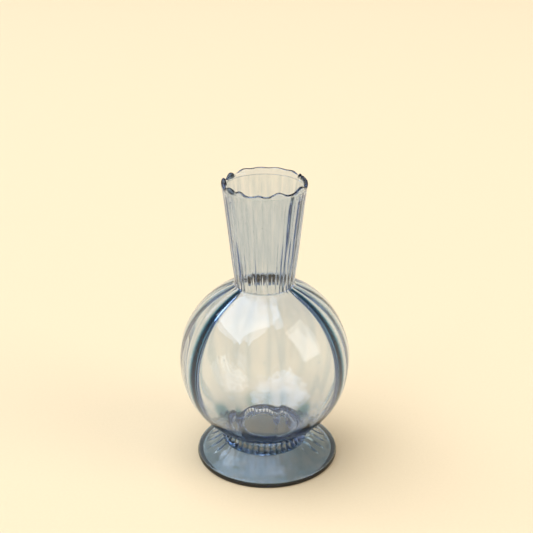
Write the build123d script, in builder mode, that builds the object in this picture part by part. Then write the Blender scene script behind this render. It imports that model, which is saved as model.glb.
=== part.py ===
"""A glass bud vase: a ribbed globe with a flared ribbed neck, on a fluted collar and a low skirt of a foot.

Millimetres, +Z up. The origin is on the globe's axis, at the height of the surface that the foot stands on.
Each piece is one gather of glass, and the pieces meet face to face where the hot glass was fused.
"""

import os
from math import atan2, cos, degrees, pi, radians, sin, sqrt

from build123d import *

# Whole vase
HEIGHT = 150.0
RIB_BEARINGS = (10, 38, 64, 80, 97, 122, 147, 172, 198, 224, 250, 275, 303, 341)  # degrees from the front

# Globe
GLOBE_RADIUS = 43.4
GLOBE_HALF_HEIGHT = 44.2
GLOBE_CENTRE_Z = 54.5
GLOBE_BOTTOM_Z = 15.0
GLOBE_WALL = 1.4
GLOBE_FLOOR_Z = 17.0
GLOBE_RIB = 0.7  # how far a rib stands into the globe
GLOBE_FACET = 0.3  # how far the outside dips along a rib
GLOBE_SECTIONS = 12

# Neck
NECK_ROOT_RADIUS = 14.8
NECK_ROOT_Z = GLOBE_CENTRE_Z + GLOBE_HALF_HEIGHT * sqrt(1 - (NECK_ROOT_RADIUS / GLOBE_RADIUS) ** 2)
NECK_TOP_RADIUS = 20.6
NECK_ROOT_WALL = 2.1
NECK_TOP_WALL = 1.8
NECK_RIB = 0.35
BORE_STEP = 0.5  # how far the globe's hollow opens out below the neck's bore

# Lip, a fire-polished bead that stands highest between the ribs and dips over them
LIP_BASE_Z = 146.4
LIP_WIDTH = 2.4
LIP_DIP_DEPTH = 1.5
LIP_DIP_RADIUS = 4.5
LIP_DIP_LENGTH = 7.2  # enough to reach right across the lip
LIP_SOFTENING = 0.35
LIP_EDGE_MARGIN = 0.5  # edges nearer than this to the lip's base stay sharp

# Collar between the foot and the globe, hollow like the foot
COLLAR_BASE_Z = 10.0
COLLAR_BASE_HOLLOW_RADIUS = 18.0
COLLAR_TOP_HOLLOW_RADIUS = 15.0
COLLAR_BASE_RADIUS = 22.0
COLLAR_BASE_DIRECTION = (-1, 0.35)
COLLAR_TOP_DIRECTION = (-0.2, 1)
COLLAR_TOP_RADIUS = GLOBE_RADIUS * sqrt(1 - ((GLOBE_CENTRE_Z - GLOBE_BOTTOM_Z) / GLOBE_HALF_HEIGHT) ** 2)
FLUTE_COUNT = 36
FLUTE_RADIUS = 1.2
FLUTE_LENGTH = 12.0
FLUTE_CLEARANCE = 0.4  # from the flank out to each flute's axis
FLUTE_TILT = 45.0

# Foot, a skirt set a little to one side of the globe's axis
FOOT_OFFSET_X = 1.3
FOOT_RADIUS = 36.5
FOOT_EDGE_HEIGHT = 3.4
FOOT_EDGE_TOP_RADIUS = 34.9
FOOT_HUB_RADIUS = 23.0
FOOT_REST_INNER_RADIUS = 32.5
FOOT_REST_OUTER_RADIUS = 35.9
FOOT_RIM_DIRECTION = (-1, 0.2)
FOOT_HUB_DIRECTION = (-1, 0.7)
FOOT_HOLLOW_TOP_DIRECTION = (0.7, -1)
FOOT_HOLLOW_EDGE_DIRECTION = (1, -0.35)
CREASE_COUNT = 28
CREASE_RADIUS = 1.2
CREASE_LENGTH = 11.0
CREASE_DEPTH = 0.5


def around(radius, bearing, z=0.0):
    """The point at a bearing, in degrees from the front towards the right."""
    return (radius * sin(radians(bearing)), -radius * cos(radians(bearing)), z)


def rib_gaps():
    """Each rib's bearing, with the bearing of the rib after it."""
    return zip(RIB_BEARINGS, RIB_BEARINGS[1:] + (RIB_BEARINGS[0] + 360,))


def ribbed_outline(radius, rib):
    """The points of a lobed circle: radius between the ribs, and rib less at each rib."""
    points = []
    for start, end in rib_gaps():
        points.append(around(radius - rib, start)[:2])
        points.append(around(radius, (start + end) / 2)[:2])
    return points


def globe_radius(z, wall=0.0):
    """The radius at height z of the globe's outside, or of its hollow inside a wall."""
    return (GLOBE_RADIUS - wall) * sqrt(1 - ((z - GLOBE_CENTRE_Z) / (GLOBE_HALF_HEIGHT - wall)) ** 2)


def globe_heights(low, high):
    """Section heights from low to high, closest together near the two ends."""
    middle, reach = (low + high) / 2, (high - low) / 2
    return [middle - reach * cos(pi * k / GLOBE_SECTIONS) for k in range(GLOBE_SECTIONS + 1)]


os.makedirs("parts", exist_ok=True)

# Foot: a skirt of glass with a rounded edge, open up the middle to the underside of the globe
foot_plane = Plane(origin=(FOOT_OFFSET_X, 0, 0), x_dir=(1, 0, 0), z_dir=(0, -1, 0))
with BuildPart() as foot:
    with BuildSketch(foot_plane):
        with BuildLine():
            underside = Spline(
                (COLLAR_BASE_HOLLOW_RADIUS, COLLAR_BASE_Z),
                (FOOT_REST_INNER_RADIUS, 0),
                tangents=(FOOT_HOLLOW_TOP_DIRECTION, FOOT_HOLLOW_EDGE_DIRECTION),
            )
            rest = Line(underside @ 1, (FOOT_REST_OUTER_RADIUS, 0))
            rim = ThreePointArc(
                rest @ 1, (FOOT_RADIUS, FOOT_EDGE_HEIGHT / 2), (FOOT_EDGE_TOP_RADIUS, FOOT_EDGE_HEIGHT)
            )
            cone = Spline(
                rim @ 1, (FOOT_HUB_RADIUS, COLLAR_BASE_Z), tangents=(FOOT_RIM_DIRECTION, FOOT_HUB_DIRECTION)
            )
            Line(cone @ 1, underside @ 0)
        make_face()
    revolve(axis=Axis((FOOT_OFFSET_X, 0, 0), (0, 0, 1)))
    crease_middle = cone @ 0.5  # radius and height
    crease_fall = cone % 0.5
    crease_tilt = degrees(atan2(crease_fall.X, crease_fall.Y))
    with Locations((FOOT_OFFSET_X, 0, crease_middle.Y + CREASE_RADIUS - CREASE_DEPTH)):
        with PolarLocations(crease_middle.X, CREASE_COUNT):
            Cylinder(CREASE_RADIUS, CREASE_LENGTH, rotation=(0, crease_tilt, 0), mode=Mode.SUBTRACT)
foot.part.label = "foot"
export_step(foot.part, "parts/foot.step")

# Collar: a fluted ring of glass, wider at the foot than at the globe
with BuildPart() as stem_collar:
    with BuildSketch(Plane.XZ):
        with BuildLine():
            base = Line((COLLAR_BASE_HOLLOW_RADIUS, COLLAR_BASE_Z), (COLLAR_BASE_RADIUS, COLLAR_BASE_Z))
            flank = Spline(
                base @ 1,
                (COLLAR_TOP_RADIUS, GLOBE_BOTTOM_Z),
                tangents=(COLLAR_BASE_DIRECTION, COLLAR_TOP_DIRECTION),
            )
            top = Line(flank @ 1, (COLLAR_TOP_HOLLOW_RADIUS, GLOBE_BOTTOM_Z))
            Line(top @ 1, base @ 0)
        make_face()
    revolve(axis=Axis.Z)
    flute_middle = flank @ 0.5  # radius and height
    with Locations((0, 0, flute_middle.Y + FLUTE_CLEARANCE)):
        with PolarLocations(flute_middle.X + FLUTE_CLEARANCE, FLUTE_COUNT):
            Cylinder(FLUTE_RADIUS, FLUTE_LENGTH, rotation=(0, -FLUTE_TILT, 0), mode=Mode.SUBTRACT)
stem_collar.part.label = "stem_collar"
export_step(stem_collar.part, "parts/stem_collar.step")

# Globe: blown into a ribbed mould, so its wall is thicker along each rib, with a flat floor
bore_radius = NECK_ROOT_RADIUS - NECK_ROOT_WALL
cavity_radius = GLOBE_RADIUS - GLOBE_WALL
cavity_top_radius = bore_radius + BORE_STEP
cavity_top_share = sqrt(1 - (cavity_top_radius / cavity_radius) ** 2)
cavity_top_z = GLOBE_CENTRE_Z + (GLOBE_HALF_HEIGHT - GLOBE_WALL) * cavity_top_share
with BuildPart() as bulb:
    for z in globe_heights(GLOBE_BOTTOM_Z, NECK_ROOT_Z):
        outer = globe_radius(z)
        with BuildSketch(Plane.XY.offset(z)):
            with BuildLine():
                Spline(*ribbed_outline(outer, GLOBE_FACET), periodic=True)
            make_face()
    loft()
    for z in globe_heights(GLOBE_FLOOR_Z, cavity_top_z):
        inner = globe_radius(z, GLOBE_WALL)
        rib = GLOBE_RIB * inner / cavity_radius
        with BuildSketch(Plane.XY.offset(z)):
            with BuildLine():
                Spline(*ribbed_outline(inner, rib), periodic=True)
            make_face()
    loft(mode=Mode.SUBTRACT)
    with BuildSketch(Plane.XY.offset(cavity_top_z - BORE_STEP)):
        with BuildLine():
            Spline(*ribbed_outline(bore_radius, NECK_RIB), periodic=True)
        make_face()
    extrude(amount=NECK_ROOT_Z - cavity_top_z + BORE_STEP, mode=Mode.SUBTRACT)
bulb.part.label = "bulb"
export_step(bulb.part, "parts/bulb.step")

# Neck: the ribs run on from the globe up to the lip
with BuildPart() as neck:
    for z, outer in ((NECK_ROOT_Z, NECK_ROOT_RADIUS), (LIP_BASE_Z, NECK_TOP_RADIUS)):
        with BuildSketch(Plane.XY.offset(z)):
            with BuildLine():
                Spline(*ribbed_outline(outer, NECK_RIB / 2), periodic=True)
            make_face()
    loft()
    for z, inner in ((NECK_ROOT_Z, bore_radius), (LIP_BASE_Z, NECK_TOP_RADIUS - NECK_TOP_WALL)):
        with BuildSketch(Plane.XY.offset(z)):
            with BuildLine():
                Spline(*ribbed_outline(inner, NECK_RIB), periodic=True)
            make_face()
    loft(mode=Mode.SUBTRACT)
neck.part.label = "neck"
export_step(neck.part, "parts/neck.step")

# Lip: a bead round the mouth, scalloped over the ribs
lip_middle_radius = NECK_TOP_RADIUS - NECK_TOP_WALL / 2
bead_z = HEIGHT - LIP_WIDTH / 2
with BuildPart() as lip:
    with BuildSketch(Plane.XZ):
        with BuildLine():
            inside = Line(
                (lip_middle_radius - LIP_WIDTH / 2, LIP_BASE_Z), (lip_middle_radius - LIP_WIDTH / 2, bead_z)
            )
            bead = ThreePointArc(
                inside @ 1, (lip_middle_radius, HEIGHT), (lip_middle_radius + LIP_WIDTH / 2, bead_z)
            )
            outside = Line(bead @ 1, (lip_middle_radius + LIP_WIDTH / 2, LIP_BASE_Z))
            Line(outside @ 1, inside @ 0)
        make_face()
    revolve(axis=Axis.Z)
    for bearing in RIB_BEARINGS:
        dip_centre = around(lip_middle_radius, bearing, HEIGHT - LIP_DIP_DEPTH + LIP_DIP_RADIUS)
        with Locations(Plane(origin=dip_centre, z_dir=around(1, bearing))):
            Cylinder(LIP_DIP_RADIUS, LIP_DIP_LENGTH, mode=Mode.SUBTRACT)
    dip_edges = lip.edges().filter_by_position(
        Axis.Z, LIP_BASE_Z + LIP_EDGE_MARGIN, HEIGHT, inclusive=(True, False)
    )
    fillet(dip_edges, LIP_SOFTENING)
lip.part.label = "lip"
export_step(lip.part, "parts/lip.step")
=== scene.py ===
"""The looks of the glass bud vase: its five pieces as fine meshes in tinted glass, on a plain pale floor.

Lengths are in millimetres until a mesh is made, and bearings are in degrees from the front towards the right.
A profile is a row of (radius, height) points, and rings are what it makes when it is turned round the axis.
"""

from math import cos, pi, radians, sin

import bpy
import numpy as np
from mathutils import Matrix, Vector


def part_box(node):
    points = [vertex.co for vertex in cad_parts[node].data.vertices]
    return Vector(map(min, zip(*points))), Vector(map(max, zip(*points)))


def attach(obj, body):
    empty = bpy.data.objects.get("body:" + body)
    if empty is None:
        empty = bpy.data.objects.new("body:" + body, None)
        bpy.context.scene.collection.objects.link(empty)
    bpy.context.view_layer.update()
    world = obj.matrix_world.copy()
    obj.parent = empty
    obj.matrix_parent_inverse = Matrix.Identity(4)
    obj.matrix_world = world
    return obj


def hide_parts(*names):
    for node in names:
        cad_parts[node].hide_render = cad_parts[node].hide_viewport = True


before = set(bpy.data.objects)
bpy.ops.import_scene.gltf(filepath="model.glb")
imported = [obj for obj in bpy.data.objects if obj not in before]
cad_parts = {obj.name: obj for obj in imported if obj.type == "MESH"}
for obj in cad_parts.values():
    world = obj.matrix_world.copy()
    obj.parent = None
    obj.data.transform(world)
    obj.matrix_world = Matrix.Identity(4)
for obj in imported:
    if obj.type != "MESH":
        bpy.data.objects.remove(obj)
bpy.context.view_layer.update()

MM = 0.001


# ---------------------------------------------------------------- sizes, from the frame
def low_high(node):
    """The lowest and highest corners of a CAD node, in millimetres."""
    low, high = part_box(node)
    return np.array(low) / MM, np.array(high) / MM


bulb_low, bulb_high = low_high("bulb")
neck_low, neck_high = low_high("neck")
foot_low, foot_high = low_high("foot")
collar_low, collar_high = low_high("stem_collar")
lip_high = low_high("lip")[1]

GLOBE_RADIUS = (bulb_high[0] - bulb_low[0]) / 2
GLOBE_HALF_HEIGHT = GLOBE_RADIUS * 1.018  # it is a little taller than wide
GLOBE_CENTRE_Z = 54.5
COLLAR_TOP_Z = bulb_low[2]
NECK_ROOT_Z = neck_low[2]
NECK_TOP_Z = neck_high[2]
HEIGHT = lip_high[2]
FOOT_CENTRE_X = (foot_low[0] + foot_high[0]) / 2
FOOT_RADIUS = (foot_high[0] - foot_low[0]) / 2
HUB_Z = foot_high[2]

ROOT_RADIUS = 15.3  # outside, where the neck stands on the globe
BORE_RADIUS = 13.3  # inside, at the same place
FUSED = 0.005  # how far fused pieces run into each other
TURNS = 560  # points round each piece
bearing = np.arange(TURNS) * 360 / TURNS
turn = np.radians(bearing)

# The ribs' bearings, and then for each rib: its strength in the globe and in the neck, how many millimetres
# the globe is hollowed between it and the next rib, and how much painted shade darkens the glass along it,
# over the blue of its thick glass, from 0 to 1.
RIBS = (10, 38, 64, 80, 97, 122, 147, 172, 198, 224, 250, 275, 303, 341)
GLOBE_RIBS = (0.15, 0.1, 1.75, 0.9, 1.0, 0.4, 0.2, 0.2, 0.2, 0.5, 0.9, 1.0, 1.75, 0.15)
NECK_RIBS = (0.5, 0.3, 1.3, 0.9, 0.8, 0.7, 0.6, 0.7, 0.6, 0.7, 0.8, 0.5, 0.25, 0.6)
GLOBE_HOLLOWS = (0.15, 0.1, 0, 0, 0, 0.1, 0.2, 0.2, 0.2, 0.1, 0, 0, 0.15, 0.55)
RIB_BLUE_AND_SHADE = (0, 0, 1.0, 0.2, 0.16, 0.06, 0.03, 0.03, 0.03, 0.06, 0.16, 0.2, 1.0, 0)


# ---------------------------------------------------------------- patterns round the vase
def apart(a, b):
    """The signed angle from b to a, from -180 to 180."""
    return (a - b + 180) % 360 - 180


def smoothstep(value, low, high):
    """0 below low, 1 above high, and a smooth rise in between."""
    t = np.clip((value - low) / (high - low), 0, 1)
    return t * t * (3 - 2 * t)


def bumps(places, width, heights):
    """A smooth bump at each place round the vase."""
    return sum(h * np.exp(-((apart(bearing, p) / width) ** 2)) for p, h in zip(places, heights))


def near(place, inner, outer):
    """1 round the vase up to inner degrees from a place, and 0 from outer degrees on."""
    return 1 - smoothstep(np.abs(apart(bearing, place)), inner, outer)


def valleys(strengths):
    """The strength of each rib at that rib, and 0 half way between ribs, where the glass bulges."""
    following = RIBS[1:] + (RIBS[0] + 360,)
    depth = np.zeros(TURNS)
    for start, end, at_start, at_end in zip(RIBS, following, strengths, strengths[1:] + strengths[:1]):
        share = ((bearing - start) % 360) / (end - start)
        inside = share < 1
        depth[inside] = (np.where(share < 0.5, at_start, at_end) * np.cos(pi * share) ** 2)[inside]
    return depth


def hollows(depths):
    """How deep the glass is hollowed between each rib and the next, with the ribs left as soft ridges."""
    following = RIBS[1:] + (RIBS[0] + 360,)
    sunk = np.zeros(TURNS)
    for start, end, depth in zip(RIBS, following, depths):
        share = ((bearing - start) % 360) / (end - start)
        sunk += np.where(share < 1, depth * np.sin(pi * np.minimum(share, 1)), 0)
    return sunk


def ripple(count, phase):
    """count waves round the vase, of uneven height."""
    waves = np.cos(count * turn + phase)
    return waves * (1 - 0.5 * (0.5 + 0.5 * np.sin(3 * turn + 2.3 * phase)))


def handmade(heights, phase):
    """Gentle hills and hollows about 1 high, which a hand-blown surface has, at each height and bearing."""
    z = np.asarray(heights)[:, None]
    waves = ((2, 0.050), (3, -0.085), (5, 0.110), (8, -0.060), (11, 0.150))  # count round the vase, and climb
    phases = [phase * (k + 1) for k in range(len(waves))]
    return sum(np.cos(count * turn + climb * z + p) for (count, climb), p in zip(waves, phases)) / 3


# ---------------------------------------------------------------- profiles
def curve(points, count):
    """A smooth line through given points, as count points."""
    points = np.array(points, float)
    steps = np.r_[0, np.cumsum(np.linalg.norm(np.diff(points, axis=0), axis=1))]
    ends = np.vstack([2 * points[0] - points[1], points, 2 * points[-1] - points[-2]])
    out = []
    for s in np.linspace(0, steps[-1], count):
        i = min(int(np.searchsorted(steps, s, side="right")) - 1, len(points) - 2)
        t = (s - steps[i]) / (steps[i + 1] - steps[i])
        p0, p1, p2, p3 = ends[i : i + 4]
        out.append(
            0.5 * (2 * p1 + (p2 - p0) * t + (2 * p0 - 5 * p1 + 4 * p2 - p3) * t**2
                   + (3 * p1 - p0 - 3 * p2 + p3) * t**3)
        )
    return np.array(out)


def straight(start, end, count):
    """Points from start to end, with neither end."""
    return np.linspace(start, end, count + 2)[1:-1]


def normals_of(profile):
    """Outward normals of a profile whose outside is on its right as it is followed."""
    along = np.gradient(profile, axis=0)
    along /= np.linalg.norm(along, axis=1)[:, None]
    return np.column_stack([along[:, 1], -along[:, 0]])


def surface(profile, moved=0.0, centre_x=0.0):
    """Rings round the axis: the profile turned round, each point moved along its normal."""
    outward = normals_of(profile)
    moved = moved + np.zeros((len(profile), TURNS))
    r = profile[:, 0, None] + outward[:, 0, None] * moved
    z = profile[:, 1, None] + outward[:, 1, None] * moved
    return np.stack([centre_x + r * np.sin(turn), -r * np.cos(turn), z], axis=2)


def between(first, last, count):
    """Rings from the first ring to the last, with neither."""
    share = np.linspace(0, 1, count + 2)[1:-1, None, None]
    return first * (1 - share) + last * share


# ---------------------------------------------------------------- meshes
SHARP_EDGE_DEG = 50


def bubble(bearing_deg, radius, z, half_sizes):
    """A small closed hollow in the glass: its points and its faces, which face into the hollow."""
    across, along = 12, 8
    points = []
    for k in range(1, along):
        polar = pi * k / along
        for j in range(across):
            round_it = 2 * pi * j / across
            points.append((sin(polar) * cos(round_it), sin(polar) * sin(round_it), cos(polar)))
    points += [(0, 0, 1), (0, 0, -1)]
    centre = (radius * sin(radians(bearing_deg)), -radius * cos(radians(bearing_deg)), z)
    points = np.array(points) * half_sizes + centre
    top, bottom = len(points) - 2, len(points) - 1
    last = (along - 2) * across
    faces = []
    for j in range(across):
        after = (j + 1) % across
        faces.append([top, after, j])
        for k in range(along - 2):
            low, high = k * across, (k + 1) * across
            faces.append([low + j, low + after, high + after, high + j])
        faces.append([bottom, last + j, last + after])
    return points, faces


def build(name, rings, loop, material, node, blue_and_painted_shade, bubbles=()):
    """A closed mesh from rings. Without loop, it is closed by a point on the axis at each end.
    The array after node says how much of the material's near-black colour the glass has, from 0 to 1, at each
    ring and bearing: painted shade, with the stronger blue of thick glass in places."""
    count = len(rings)
    points = rings.reshape(-1, 3)
    here = np.arange(TURNS)
    there = (here + 1) % TURNS
    quads = []
    for k in range(count if loop else count - 1):
        a, b = k * TURNS, ((k + 1) % count) * TURNS
        quads.append(np.column_stack([a + here, a + there, b + there, b + here]))
    faces = np.vstack(quads).tolist()
    if not loop:
        first, last = len(points), len(points) + 1
        points = np.vstack([points, rings[0].mean(0), rings[-1].mean(0)])
        top = (count - 1) * TURNS
        faces += np.column_stack([np.full(TURNS, first), there, here]).tolist()
        faces += np.column_stack([np.full(TURNS, last), top + here, top + there]).tolist()
    for hollow_points, hollow_faces in bubbles:
        faces += [[len(points) + i for i in face] for face in hollow_faces]
        points = np.vstack([points, hollow_points])
    mesh = bpy.data.meshes.new(name)
    mesh.from_pydata((points * MM).tolist(), [], faces)
    mesh.shade_smooth()
    mesh.set_sharp_from_angle(angle=radians(SHARP_EDGE_DEG))
    mesh.materials.append(material)
    # Painted shade, with the stronger blue of thick glass in places, goes to the material as a point
    # attribute.
    attribute = mesh.attributes.new("blue_and_painted_shade", "FLOAT", "POINT")
    attribute.data.foreach_set("value", np.r_[blue_and_painted_shade.ravel(), np.zeros(len(points) - blue_and_painted_shade.size)])
    piece = bpy.data.objects.new(name, mesh)
    bpy.context.scene.collection.objects.link(piece)
    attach(piece, "root")
    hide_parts(node)


# ---------------------------------------------------------------- glass
GLASS_IOR = 1.5
ABSORPTION_PER_M = (100.0, 71.0, 30.0)
WIPE_MARKS_PER_M = 90.0
WIPED_ROUGHNESS = 0.012


def glass(name, grain, streak, bump_mm, blue_and_shade_colour, depth=1.0, streak_colour=(0.955, 0.972, 0.99),
          clear_colour=(1, 1, 1), transmission=1.0):
    """Clear glass that turns blue with depth, depth times as fast as ABSORPTION_PER_M.
    Its colour wanders between streak_colour and clear_colour, in streaks grain mm wide and streak mm tall,
    and is darkened towards a near-black blue where the mesh's attribute asks for it: painted shade, with the
    stronger blue of thick glass in places."""
    material = bpy.data.materials.new(name)
    material.use_nodes = True
    nodes, links = material.node_tree.nodes, material.node_tree.links
    shader = nodes["Principled BSDF"]
    shader.inputs["Transmission Weight"].default_value = transmission
    shader.inputs["IOR"].default_value = GLASS_IOR

    place = nodes.new("ShaderNodeTexCoord")
    scale = nodes.new("ShaderNodeMapping")
    scale.inputs["Scale"].default_value = (1 / (grain * MM), 1 / (grain * MM), 1 / (streak * MM))
    links.new(place.outputs["Object"], scale.inputs["Vector"])
    drawn = nodes.new("ShaderNodeTexNoise")
    drawn.inputs["Scale"].default_value = 1.0
    drawn.inputs["Detail"].default_value = 1.0
    links.new(scale.outputs[0], drawn.inputs["Vector"])

    tint = nodes.new("ShaderNodeValToRGB")
    tint.color_ramp.elements[0].position, tint.color_ramp.elements[1].position = 0.35, 0.65
    tint.color_ramp.elements[0].color = (*streak_colour, 1)
    tint.color_ramp.elements[1].color = (*clear_colour, 1)
    links.new(drawn.outputs["Fac"], tint.inputs[0])

    # Painted shade: a near-black blue painted into the glass where the mesh's attribute says, for dark lines
    # and bands seen in the glass, with the stronger blue of thick glass in places.
    blue_and_painted_shade = nodes.new("ShaderNodeAttribute")
    blue_and_painted_shade.attribute_name = "blue_and_painted_shade"
    depths = nodes.new("ShaderNodeValToRGB")
    bar = depths.color_ramp
    bar.elements[0].color, bar.elements[1].color = (1, 1, 1, 1), (*blue_and_shade_colour, 1)
    for share in (0.25, 0.5, 0.75):
        bar.elements.new(share).color = (*[value**share for value in blue_and_shade_colour], 1)
    links.new(blue_and_painted_shade.outputs["Fac"], depths.inputs["Fac"])
    both = nodes.new("ShaderNodeMixRGB")
    both.blend_type = "MULTIPLY"
    both.inputs["Fac"].default_value = 1.0
    links.new(tint.outputs[0], both.inputs["Color1"])
    links.new(depths.outputs["Color"], both.inputs["Color2"])
    links.new(both.outputs[0], shader.inputs["Base Color"])

    wiped = nodes.new("ShaderNodeTexNoise")
    wiped.inputs["Scale"].default_value = WIPE_MARKS_PER_M
    links.new(place.outputs["Object"], wiped.inputs["Vector"])
    rough = nodes.new("ShaderNodeMapRange")
    rough.inputs["From Min"].default_value, rough.inputs["From Max"].default_value = 0.45, 0.75
    rough.inputs["To Min"].default_value, rough.inputs["To Max"].default_value = 0.0, WIPED_ROUGHNESS
    links.new(wiped.outputs["Fac"], rough.inputs["Value"])
    links.new(rough.outputs[0], shader.inputs["Roughness"])

    bump = nodes.new("ShaderNodeBump")
    bump.inputs["Strength"].default_value = 1.0
    bump.inputs["Distance"].default_value = bump_mm * MM
    links.new(drawn.outputs["Fac"], bump.inputs["Height"])
    links.new(bump.outputs[0], shader.inputs["Normal"])

    absorption = nodes.new("ShaderNodeVolumeAbsorption")
    density = max(ABSORPTION_PER_M) / 0.9  # so that the colour below stays above 0
    absorbed = [1 - a / density for a in ABSORPTION_PER_M]
    absorption.inputs["Color"].default_value = (*absorbed, 1)
    absorption.inputs["Density"].default_value = density * depth
    links.new(absorption.outputs[0], nodes["Material Output"].inputs["Volume"])
    return material


# ---------------------------------------------------------------- globe
BALL_RINGS, ROOT_RINGS, BORE_RINGS, FLOOR_RINGS, BASE_RINGS = 76, 6, 19, 39, 12
ROOT_CURVE = 0.9  # height of the small curve from the ball up to the neck
GLOBE_WALL = 1.35
THICKER = 0.7  # how much thicker the wall is at the base and near the neck
THICK_BASE_Z = (16, 33)  # from the thick wall up to the thin one
THICK_TOP_Z = (80, 94)  # and from the thin one up to the thick one
WALL_END_RADIUS, WALL_END_Z = 19.5, 19.4  # below these, the wall turns into the floor
AXIS_RADIUS = 0.4  # of the smallest rings
FLOOR_RIPPLE, FLOOR_RIPPLES_PER_MM = 0.05, 2.6
GLOBE_WAVE = 0.08  # how high the hand-blown hills are
FACET_DEPTH = 0.3  # of a valley of strength 1, outside each rib
STRONGEST_FACET = 0.8  # a stronger rib counts as this outside
GLOBE_RIB_HEIGHT = 1.45  # of a rib of strength 1, into the globe
GLOBE_RIB_WIDTH = 5.0  # degrees
RIBS_GROW_Z = (18, 34)  # from no ribs at the floor up to whole ribs
ARCH_BEARING = 187  # where the bore opens roundly into the globe, which makes a dark arch

# Painted shade: the glass is painted a near-black blue along the strong ribs, outside and inside, for the
# dark lines seen there, over the blue of the thick ribs;
# and it is painted a stronger blue in patches in the thick base, partly the blue of thick glass and partly
# painted shade.
OUTER_SHADE_LINES = tuple(rib - 3 if rib < 180 else rib + 3 for rib in RIBS)  # a little nearer the front
OUTER_SHADE_LINE_WIDTH, INNER_SHADE_LINE_WIDTH = 2.8, 3.4  # degrees
OUTER_SHADE_LINES_Z = (17, 26)
BASE_PATCHES = (50, 110, 167, 203, 255, 311)
BASE_BLUE_AND_SHADE = (0.7, 0.4, 0.15, 0.15, 0.4, 0.7)
BASE_PATCH_WIDTH = 14  # degrees
BASE_PATCHES_Z = (17, 22.5)

SEED_DEPTH, SEED_SIZE = 0.75, 0.24  # how far a seed is under the outside, and half its width
GLOBE_SEEDS = (
    # bearing, height
    (-34, 71.6), (-29, 71.1), (0, 72.2), (9, 60.6), (3, 57.8), (40, 68.0), (150, 66.0),
)


def waist_ribs():
    """How far the ribs stand into the bore where the globe meets the neck, which is least at the arch."""
    calm_back = 0.1 + 0.9 * smoothstep(np.abs(apart(bearing, ARCH_BEARING)), 14, 45)
    return (0.45 * bumps(RIBS, 4.5, NECK_RIBS) + 0.12 * ripple(41, 1.1)) * calm_back


def globe_profiles():
    """The globe's outer profile upwards, and the parts of its inner one downwards: the end of the bore, once
    sharp and once round, the wall, and the floor."""
    start = np.arcsin((COLLAR_TOP_Z - GLOBE_CENTRE_Z) / GLOBE_HALF_HEIGHT)
    end = np.arcsin((NECK_ROOT_Z - ROOT_CURVE - GLOBE_CENTRE_Z) / GLOBE_HALF_HEIGHT)
    rise = np.linspace(start, end, BALL_RINGS)
    ball = np.column_stack([GLOBE_RADIUS * np.cos(rise), GLOBE_CENTRE_Z + GLOBE_HALF_HEIGHT * np.sin(rise)])
    root = [ball[-1], (15.75, NECK_ROOT_Z - ROOT_CURVE / 2), (ROOT_RADIUS, NECK_ROOT_Z + FUSED)]
    outer = np.vstack([ball, curve(root, ROOT_RINGS + 1)[1:]])
    z = ball[:, 1]
    thick = GLOBE_WALL + THICKER * (1 - smoothstep(z, *THICK_BASE_Z)) + THICKER * smoothstep(z, *THICK_TOP_Z)
    wall = (ball - normals_of(ball) * thick[:, None])[::-1]
    wall = wall[(wall[:, 0] > WALL_END_RADIUS) & (wall[:, 1] > WALL_END_Z)]
    top = (BORE_RADIUS, NECK_ROOT_Z + FUSED)
    sharp = [top, (13.5, NECK_ROOT_Z - 0.5), (14.4, NECK_ROOT_Z - 1.4), wall[0]]
    rounded = [top, (13.5, NECK_ROOT_Z - 2.5), (15.2, NECK_ROOT_Z - 6.2), wall[0]]
    sharp_bore = curve(sharp, BORE_RINGS + 1)[:-1]
    round_bore = curve(rounded, BORE_RINGS + 1)[:-1]
    floor = [wall[-1], (19, 17.3), (15.5, 16.5), (10, 16.3), (5, 16.5), (AXIS_RADIUS, 16.6)]
    return outer, sharp_bore, round_bore, wall, curve(floor, FLOOR_RINGS + 1)[1:]


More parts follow.
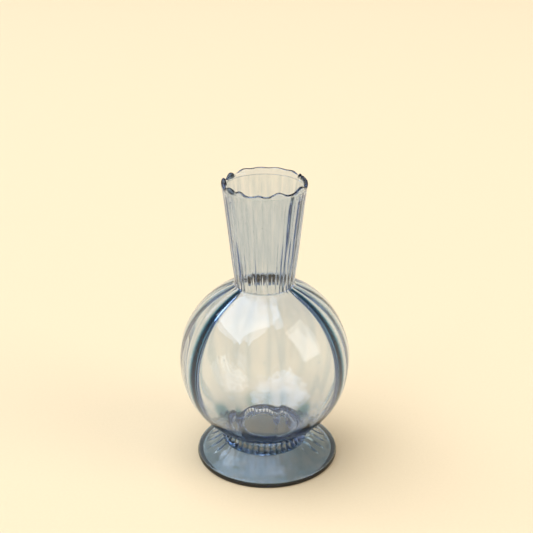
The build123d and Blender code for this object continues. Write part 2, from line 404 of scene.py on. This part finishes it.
def globe_piece():
    outer, sharp_bore, round_bore, wall, floor = globe_profiles()
    r, z = outer[:, 0], outer[:, 1]
    fade = smoothstep(z, COLLAR_TOP_Z, COLLAR_TOP_Z + 6) * (1 - smoothstep(z, 91, NECK_ROOT_Z))
    facets = FACET_DEPTH * valleys(tuple(min(strength, STRONGEST_FACET) ** 2 for strength in GLOBE_RIBS))
    sunk = facets + hollows(GLOBE_HOLLOWS) + GLOBE_WAVE + GLOBE_WAVE * handmade(z, 0.7)
    outside = surface(outer, -(fade * (r / GLOBE_RADIUS))[:, None] * sunk)
    # Painted shade: near-black lines along the strong ribs on the outside, and darker blue patches in the
    # thick base.
    lines = smoothstep(z, *OUTER_SHADE_LINES_Z)[:, None] * bumps(OUTER_SHADE_LINES, OUTER_SHADE_LINE_WIDTH, RIB_BLUE_AND_SHADE)
    patches = 0.05 + bumps(BASE_PATCHES, BASE_PATCH_WIDTH, BASE_BLUE_AND_SHADE)
    patches = (1 - smoothstep(z, *BASE_PATCHES_Z))[:, None] * patches

    inner = np.vstack([sharp_bore, wall, floor])
    r, z = inner[:, 0], inner[:, 1]
    size = r / GLOBE_RADIUS
    above_floor = smoothstep(z, *RIBS_GROW_Z)
    at_neck = smoothstep(z, NECK_ROOT_Z - 4, NECK_ROOT_Z)[:, None]
    ribs = bumps(RIBS, GLOBE_RIB_WIDTH, GLOBE_RIBS)
    moved = (above_floor * size**0.5)[:, None] * GLOBE_RIB_HEIGHT * ribs
    moved += size[:, None] * GLOBE_WAVE * handmade(z, 2.1)
    moved = moved * (1 - at_neck) + waist_ribs() * at_neck
    on_floor = 1 - smoothstep(z, 17.5, 21)
    moved += (on_floor * FLOOR_RIPPLE * np.sin(FLOOR_RIPPLES_PER_MM * r))[:, None]
    inside = surface(inner, moved)
    rounded = surface(np.vstack([round_bore, wall]), moved[: len(round_bore) + len(wall)])[:BORE_RINGS]
    at_back = near(ARCH_BEARING, 19, 31)[None, :, None]
    inside[:BORE_RINGS] = inside[:BORE_RINGS] * (1 - at_back) + rounded * at_back

    base = straight((AXIS_RADIUS, COLLAR_TOP_Z - FUSED), (outer[0, 0], COLLAR_TOP_Z - FUSED), BASE_RINGS)
    rings = np.vstack([
        surface(base),
        outside,
        surface(straight(outer[-1], inner[0], 2)),
        inside,
    ])
    blue_and_painted_shade = np.zeros((len(rings), TURNS))
    blue_and_painted_shade[len(base) : len(base) + len(outer)] = np.clip(lines + patches, 0, 1)
    # Painted shade: near-black lines along the strong ribs on the inside.
    inner_shade_lines = np.clip(bumps(RIBS, INNER_SHADE_LINE_WIDTH, RIB_BLUE_AND_SHADE), 0, 1)
    blue_and_painted_shade[-len(inner) :] = above_floor[:, None] * inner_shade_lines
    seeds = []
    for seed_bearing, seed_z in GLOBE_SEEDS:
        outer_radius = GLOBE_RADIUS * np.sqrt(1 - ((seed_z - GLOBE_CENTRE_Z) / GLOBE_HALF_HEIGHT) ** 2)
        seeds.append(bubble(seed_bearing, outer_radius - SEED_DEPTH, seed_z, SEED_SIZE))
    material = glass("blown_globe_glass", grain=9, streak=30, bump_mm=0.05,
                     blue_and_shade_colour=(0.0003, 0.014, 0.045))
    build("bulb_glass", rings, False, material, "bulb", blue_and_painted_shade, seeds)


# ---------------------------------------------------------------- neck
NECK_RINGS = 84
NECK_TOP_OUTER, NECK_TOP_INNER = 20.6, 18.8
CALM_BEARING = -62  # the left side is smoother
NECK_SEEDS = ((-28, 133.7), (-3, 132), (-17, 130))  # bearing, height
NECK_SEED_DEPTH, NECK_SEED_SIZE = 1.0, 0.22
NECK_FACET_DEPTH = 0.22
THICK_RIB_BEARING, THICK_RIB_HEIGHT = 44, 0.6  # one rib stands further in, in the upper half

# Painted shade: the glass is painted near black along a few lines, for dark lines seen in it: one at the
# thick rib, one beside it, one on the left, and some that rise a little way from the neck's root.
THICK_RIB_LINE, SIDE_LINE, LEFT_LINE = 42.5, 65, 290
ROOT_LINES = (282, 296, 314, 40, 54, 76)
ROOT_LINE_SHADES = (0.6, 0.6, 0.4, 0.6, 0.6, 0.6)


def neck_piece():
    bottom = NECK_ROOT_Z - FUSED
    top = NECK_TOP_Z + FUSED
    outer = curve(
        [(ROOT_RADIUS, bottom), (14.95, bottom + 1.2), (15.05, bottom + 3), (16.3, 108.9), (17.8, 122.6),
         (19.35, 136.3), (NECK_TOP_OUTER, top)],
        NECK_RINGS,
    )
    inner = curve(
        [(NECK_TOP_INNER, top), (17.3, 136.3), (15.7, 122.6), (14.1, 108.9), (BORE_RADIUS, 99),
         (BORE_RADIUS, bottom)],
        NECK_RINGS,
    )
    z = outer[:, 1]
    tight = (1 - smoothstep(z, NECK_ROOT_Z, 128))[:, None]  # the ribs crowd where the neck is narrow
    low_end = smoothstep(z, NECK_ROOT_Z, NECK_ROOT_Z + 4)[:, None]
    high_end = (1 - smoothstep(z, 140, NECK_TOP_Z))[:, None]
    calmer = 1 - 0.6 * bumps((CALM_BEARING,), 32, (1,))
    outer_moved = -NECK_FACET_DEPTH * valleys(NECK_RIBS) * (0.6 + tight) + 0.10 * ripple(39, 0.4) * calmer
    outer_moved = outer_moved * low_end * high_end

    tight, low_end, high_end = tight[::-1], low_end[::-1], high_end[::-1]
    z = inner[:, 1]
    upper = smoothstep(z, 114, 132)[:, None]
    inner_moved = (0.45 + 0.35 * tight) * bumps(RIBS, 4.0, NECK_RIBS)
    inner_moved = inner_moved + (0.13 + 0.09 * tight) * ripple(41, 1.1) * calmer
    thick_rib = THICK_RIB_HEIGHT * upper * bumps((THICK_RIB_BEARING,), 4.0, (1.0,))
    inner_moved = inner_moved + 0.08 * handmade(z, 0.3) + thick_rib
    inner_moved = (inner_moved * low_end + waist_ribs() * (1 - low_end)) * high_end
    rings = np.vstack([
        surface(outer, outer_moved),
        surface(straight(outer[-1], inner[0], 3)),
        surface(inner, inner_moved),
        surface(straight(inner[-1], outer[0], 3)),
    ])
    # Painted shade: near-black lines painted into the inner wall of the neck.
    near_root = 1 - smoothstep(z, 101, 118)[:, None]
    lines = upper * bumps((THICK_RIB_LINE,), 2.4, (1.0,))
    lines = lines + bumps((SIDE_LINE,), 4.0, (0.9,))
    lines = lines + 0.5 * upper * bumps((LEFT_LINE,), 5.0, (1.0,))
    lines = lines + near_root * bumps(ROOT_LINES, 2.5, ROOT_LINE_SHADES)
    blue_and_painted_shade = np.zeros((len(rings), TURNS))
    inner_start = NECK_RINGS + 3
    blue_and_painted_shade[inner_start : inner_start + NECK_RINGS] = np.clip(lines, 0, 1)
    seeds = []
    for seed_bearing, seed_z in NECK_SEEDS:
        outer_radius = 15.0 + (seed_z - NECK_ROOT_Z) * 0.112
        seeds.append(bubble(seed_bearing, outer_radius - NECK_SEED_DEPTH, seed_z, NECK_SEED_SIZE))
    material = glass("drawn_neck_glass", grain=2.2, streak=60, bump_mm=0.05,
                     blue_and_shade_colour=(0.003, 0.01, 0.025), streak_colour=(0.80, 0.84, 0.87))
    build("neck_glass", rings, True, material, "neck", blue_and_painted_shade, seeds)


# ---------------------------------------------------------------- lip
LIP_LOBES = (
    # bearing, height in mm, width in degrees
    (-35.6, 1.5, 8), (-8, 0.8, 7), (19.2, 1.7, 10), (58.7, 1.8, 12), (82, 1.3, 3.0), (89.5, 1.4, 3.0),
    (97, 1.5, 3.0), (104.5, 1.5, 3.0), (112, 1.5, 3.0), (119.5, 1.5, 3.0), (136, 1.7, 12), (160, 1.9, 15),
    (188, 1.9, 16), (212, 1.8, 11), (237, 1.9, 7), (262, 1.8, 8), (284, 1.6, 7), (303, 1.6, 7),
)
BIG_BEADS = (237, 270, 310)  # bearings of the drops of glass that stand into the mouth, which are also painted near black as shade
BIG_BEAD_DEPTH, BIG_BEAD_WIDTH = 1.1, 6  # mm and degrees
SMALL_BEADS = (82, 89.5, 97, 104.5, 112, 119.5)  # bearings of the thick glass between the small dips, which is painted near black as shade
SMALL_BEAD_WIDTH = 2.0  # degrees
LIP_SWELL, MOST_SWELL = 0.16, 0.12  # how much thicker the bead is where it is higher, and the most of it


def lip_piece():
    low = NECK_TOP_Z - FUSED
    middle = (NECK_TOP_OUTER + NECK_TOP_INNER) / 2
    profile = curve(
        [(NECK_TOP_OUTER, low), (20.72, 147.3), (20.85, 148.4), (20.62, 149.4), (middle + 0.1, HEIGHT),
         (19.15, 149.4), (18.97, 148.4), (18.92, 147.3), (NECK_TOP_INNER, low)],
        34,
    )
    profile = np.vstack([profile, straight(profile[-1], profile[0], 4)])
    r, z = profile[:, 0], profile[:, 1]
    wave = sum(bumps((place,), width, (height,)) for place, height, width in LIP_LOBES)
    wave -= wave.max()
    share = smoothstep(z, NECK_TOP_Z + 0.5, HEIGHT - 0.8)
    swell = LIP_SWELL * smoothstep(z, NECK_TOP_Z, 148)[:, None] * (wave - wave.mean())
    big_beads = bumps(BIG_BEADS, BIG_BEAD_WIDTH, (1,) * len(BIG_BEADS))
    inward = (1 - smoothstep(r, 18.97, middle)) * smoothstep(z, NECK_TOP_Z + 0.3, 148.2)
    rings = surface(profile, np.minimum(swell, MOST_SWELL) + BIG_BEAD_DEPTH * inward[:, None] * big_beads)
    rings[:, :, 2] += share[:, None] * wave
    rings[:, :, 2] = np.minimum(rings[:, :, 2], HEIGHT)
    # Painted shade: the drops, and the thick glass between the small dips, are painted near black for the
    # dark dashes seen in the rim.
    bead_shade = big_beads + bumps(SMALL_BEADS, SMALL_BEAD_WIDTH, (1,) * len(SMALL_BEADS))
    blue_and_painted_shade = share[:, None] * np.clip(bead_shade, 0, 1)
    material = glass("fire_polished_lip_glass", grain=3, streak=3, bump_mm=0.04,
                     blue_and_shade_colour=(0.003, 0.006, 0.012))
    build("lip_glass", rings, True, material, "lip", blue_and_painted_shade)


# ---------------------------------------------------------------- collar
HOLLOW_TOP_CENTRE = (-2.8, 1.6)
HOLLOW_TOP_HALF_SIZES = (11.8, 13.6)
HOLLOW_SQUARENESS = 4
HOLLOW_BASE_RADIUS = 18.0
COLLAR_RINGS = 30
FLUTES = 40
FLUTE_DEPTH = 1.0


def hollow_rings(heights):
    """The wall of the hollow under the globe: a rounded box at the collar's top, and a circle below."""
    half_x, half_y = HOLLOW_TOP_HALF_SIZES
    reach = (np.abs(np.sin(turn) / half_x) ** HOLLOW_SQUARENESS
             + np.abs(np.cos(turn) / half_y) ** HOLLOW_SQUARENESS) ** (-1 / HOLLOW_SQUARENESS)
    reach = reach * (1 + 0.03 * np.cos(5 * turn + 1) + 0.02 * np.cos(9 * turn))
    centre_x, centre_y = HOLLOW_TOP_CENTRE
    top = np.column_stack([centre_x + reach * np.sin(turn), centre_y - reach * np.cos(turn)])
    base = HOLLOW_BASE_RADIUS * np.column_stack([np.sin(turn), -np.cos(turn)])
    rings = []
    for z in heights:
        share = (collar_high[2] - z) / (collar_high[2] - collar_low[2])
        opened = max(share, 0) ** 0.8
        rings.append(np.column_stack([top * (1 - opened) + base * opened, np.full(TURNS, z)]))
    return np.array(rings)


def collar_piece():
    low, high = collar_low[2] - FUSED, collar_high[2] + FUSED
    flank = curve(
        [(21.9, low), (20.7, low + 0.7), (19.8, low + 1.9), (19.35, low + 3.4), (19.4, high)], COLLAR_RINGS
    )
    flutes = np.abs(np.sin(FLUTES / 2 * turn)) ** 0.8
    depth = np.sin(np.linspace(0, pi, COLLAR_RINGS)) ** 0.5
    outside = surface(flank, -FLUTE_DEPTH * (1 - flutes)[None, :] * depth[:, None])
    inside = hollow_rings(np.linspace(high, collar_low[2], 10))
    inside[-1, :, 2] = low
    rings = np.vstack([
        outside,
        between(outside[-1], inside[0], 4),
        inside,
        between(inside[-1], outside[0], 4),
    ])
    # Painted shade: the flute grooves, and a band where the collar meets the foot, are painted darker blue.
    foot_join_shade = 1 - smoothstep(flank[:, 1], low + 0.6, low + 2.6)
    blue_and_painted_shade = np.zeros((len(rings), TURNS))
    blue_and_painted_shade[: len(flank)] = np.clip(0.55 * (1 - flutes) * depth[:, None] + 0.4 * foot_join_shade[:, None], 0, 1)
    trapped = bubble(bearing_deg=78, radius=14.6, z=13.6, half_sizes=(2.7, 2.0, 0.7))
    material = glass("fluted_collar_glass", grain=3, streak=6, bump_mm=0.06,
                     blue_and_shade_colour=(0.01, 0.025, 0.06), depth=0.6)
    build("stem_collar_glass", rings, True, material, "stem_collar", blue_and_painted_shade, [trapped])


# ---------------------------------------------------------------- foot
CREASES = 28
CREASE_DEPTH = 1.1
CREASE_OFFSET_DEG = 12
FRONT_CREASES = 0.2  # how strong the creases are in front, where they are faintest
CREASES_END = (26, 31.5)  # radii between which they fade out
FOOT_WAVE = 0.05  # how high the waves on the top are
EDGE_START, EDGE_END = (33.2, 0.0), (35.2, 3.4)  # of the foot's rounded edge


def foot_piece():
    edge = curve(
        [EDGE_START, (35.2, 0.0), (36.15, 0.2), (FOOT_RADIUS, 1.3), (36.3, 2.4), (35.9, 3.05), EDGE_END], 44
    )
    top = curve([EDGE_END, (31.3, 4.4), (28, 6.3), (25, 8.4), (22.8, HUB_Z)], 80)[1:]
    under = curve(
        [(HOLLOW_BASE_RADIUS, HUB_Z), (19.6, 8.4), (23, 5.9), (27, 3.3), (31, 1.0), EDGE_START], 70
    )[:-1]
    sideways = smoothstep(np.abs(apart(bearing, 0)), 48, 66)
    crease = np.abs(np.cos(CREASES / 2 * turn + radians(CREASE_OFFSET_DEG))) ** 24
    crease = crease * (FRONT_CREASES + (1 - FRONT_CREASES) * sideways)
    reach = (1 - smoothstep(top[:, 0], *CREASES_END))[:, None]
    rise = np.sin(pi * np.linspace(0, 1, len(top)))[:, None]
    top_moved = -CREASE_DEPTH * reach * crease + FOOT_WAVE * handmade(5 * top[:, 0], 1.0)
    top_moved = top_moved + FOOT_WAVE * rise * ripple(17, 0.5)
    fade_in = smoothstep(np.linspace(0, 1, len(top)), 0, 0.15)[:, None]
    outside = surface(top, top_moved * fade_in, FOOT_CENTRE_X)
    under_moved = 0.08 * handmade(4 * under[:, 0], 2.0) * np.sin(np.linspace(0, pi, len(under)))[:, None]
    inside = surface(under, under_moved, FOOT_CENTRE_X)
    to_axis = (1 - smoothstep(under[:, 0], HOLLOW_BASE_RADIUS, 26))[:, None]
    inside[:, :, 0] -= FOOT_CENTRE_X * to_axis  # the foot is off the axis, but its hollow meets the collar's
    rings = np.vstack([
        inside,
        surface(edge, 0.0, FOOT_CENTRE_X),
        outside,
        between(outside[-1], inside[0], 5),
    ])
    rings[:, :, 2] = np.maximum(rings[:, :, 2], 0)
    # Painted shade: a near-black band round the rounded rim, strongest at the front corners and the front,
    # for the dark band seen at the foot's edge.
    at_rim = smoothstep(edge[:, 0], 35.6, 36.2) * (1 - smoothstep(edge[:, 1], 2.2, 2.8))
    rim_shade = np.clip(0.03 + 0.5 * bumps((0,), 30, (1,)) + bumps((-45, 45, 180), 32, (1, 1, 0.5)), 0, 1)
    blue_and_painted_shade = np.zeros((len(rings), TURNS))
    blue_and_painted_shade[len(under) : len(under) + len(edge)] = at_rim[:, None] * rim_shade
    material = glass("pressed_foot_glass", grain=5, streak=5, bump_mm=0.12,
                     blue_and_shade_colour=(0.0005, 0.0007, 0.001), depth=0.6, streak_colour=(0.66, 0.80, 0.88),
                     clear_colour=(0.88, 0.95, 0.98), transmission=0.9)
    build("foot_glass", rings, True, material, "foot", blue_and_painted_shade)


# ---------------------------------------------------------------- floor, light and camera, in metres
FLOOR_HALF = 3.0
PAPER_GRAIN_PER_M = 700.0
PAPER_DARK, PAPER_LIGHT = (0.83, 0.638, 0.405), (0.865, 0.672, 0.432)
WORLD_LOW, WORLD_MIDDLE, WORLD_TOP = (0.97, 0.88, 0.62), (0.34, 0.33, 0.31), (0.24, 0.24, 0.25)
WINDOW_COLOUR = (0.74, 0.85, 1.0)
SIDE_COLOUR = (1.0, 0.98, 0.95)
LIT_POINT = Vector((0, 0, 0.06))  # what the lights face
CAMERA_LENS_MM, CAMERA_SENSOR_MM = 73.6, 36
CAMERA_PLACE = (0.00098, -0.49443, 0.31411)
CAMERA_DOWN_DEG = 22.927


def cream_paper():
    """Matt paper with a faint grain."""
    material = bpy.data.materials.new("cream_paper")
    material.use_nodes = True
    nodes, links = material.node_tree.nodes, material.node_tree.links
    shader = nodes["Principled BSDF"]
    shader.inputs["Roughness"].default_value = 0.9
    shader.inputs["Specular IOR Level"].default_value = 0.1
    place = nodes.new("ShaderNodeTexCoord")
    grain = nodes.new("ShaderNodeTexNoise")
    grain.inputs["Scale"].default_value = PAPER_GRAIN_PER_M
    links.new(place.outputs["Object"], grain.inputs["Vector"])
    shade = nodes.new("ShaderNodeValToRGB")
    shade.color_ramp.elements[0].color = (*PAPER_DARK, 1)
    shade.color_ramp.elements[1].color = (*PAPER_LIGHT, 1)
    links.new(grain.outputs["Fac"], shade.inputs[0])
    links.new(shade.outputs[0], shader.inputs["Base Color"])
    return material


def floor_piece():
    mesh = bpy.data.meshes.new("floor")
    half = FLOOR_HALF
    corners = [(-half, -half, 0), (half, -half, 0), (half, half, 0), (-half, half, 0)]
    mesh.from_pydata(corners, [], [(0, 1, 2, 3)])
    mesh.materials.append(cream_paper())
    floor = bpy.data.objects.new("floor", mesh)
    bpy.context.scene.collection.objects.link(floor)


def towards(az, el):
    """The unit vector towards a bearing and an elevation."""
    level = cos(radians(el))
    return Vector((sin(radians(az)) * level, -cos(radians(az)) * level, sin(radians(el))))


def softbox(name, az, el, distance, wide, high, radiance, colour, aside=0.0, raised=0.0):
    """A rectangular light of even brightness. Its plane faces the vase from a bearing and an elevation,
    and its middle is moved in that plane: aside to the right, and raised."""
    light = bpy.data.lights.new(name, "AREA")
    light.shape = "RECTANGLE"
    light.size, light.size_y = wide, high
    light.energy = radiance * pi * wide * high
    light.color = colour
    lamp = bpy.data.objects.new(name, light)
    facing = towards(az, el)
    across = towards(az + 90, 0)
    upward = facing.cross(across)
    lamp.location = LIT_POINT + facing * distance + across * aside + upward * raised
    lamp.rotation_euler = facing.to_track_quat("Z", "Y").to_euler()
    bpy.context.scene.collection.objects.link(lamp)


def surroundings():
    """A studio that is bright and cream near the floor, and dim higher up."""
    world = bpy.data.worlds.new("studio")
    bpy.context.scene.world = world
    world.use_nodes = True
    nodes, links = world.node_tree.nodes, world.node_tree.links
    place = nodes.new("ShaderNodeTexCoord")
    split = nodes.new("ShaderNodeSeparateXYZ")
    ramp = nodes.new("ShaderNodeValToRGB")
    links.new(place.outputs["Generated"], split.inputs[0])
    links.new(split.outputs["Z"], ramp.inputs[0])
    links.new(ramp.outputs[0], nodes["Background"].inputs[0])
    bar = ramp.color_ramp
    bar.elements[0].position, bar.elements[0].color = 0.10, (*WORLD_LOW, 1)
    bar.elements[1].position, bar.elements[1].color = 0.50, (*WORLD_MIDDLE, 1)
    bar.elements.new(1.0).color = (*WORLD_TOP, 1)


def camera():
    data = bpy.data.cameras.new("camera")
    data.lens = CAMERA_LENS_MM
    data.sensor_width = CAMERA_SENSOR_MM
    view = bpy.data.objects.new("camera", data)
    view.location = CAMERA_PLACE
    view.rotation_euler = (radians(90 - CAMERA_DOWN_DEG), 0, 0)
    bpy.context.scene.collection.objects.link(view)
    bpy.context.scene.camera = view


globe_piece()
neck_piece()
lip_piece()
collar_piece()
foot_piece()
floor_piece()
softbox("key_window", az=-71, el=50, distance=5.0, wide=6.2, high=8.2, radiance=3.75, colour=WINDOW_COLOUR,
        aside=-0.65, raised=3.25)
softbox("side_window", az=68, el=31, distance=5.0, wide=2.7, high=4.0, radiance=2.3, colour=SIDE_COLOUR)
surroundings()
camera()
scene = bpy.context.scene
scene.view_settings.view_transform = "Standard"
scene.cycles.max_bounces = 24
scene.cycles.transmission_bounces = 24
scene.cycles.glossy_bounces = 12
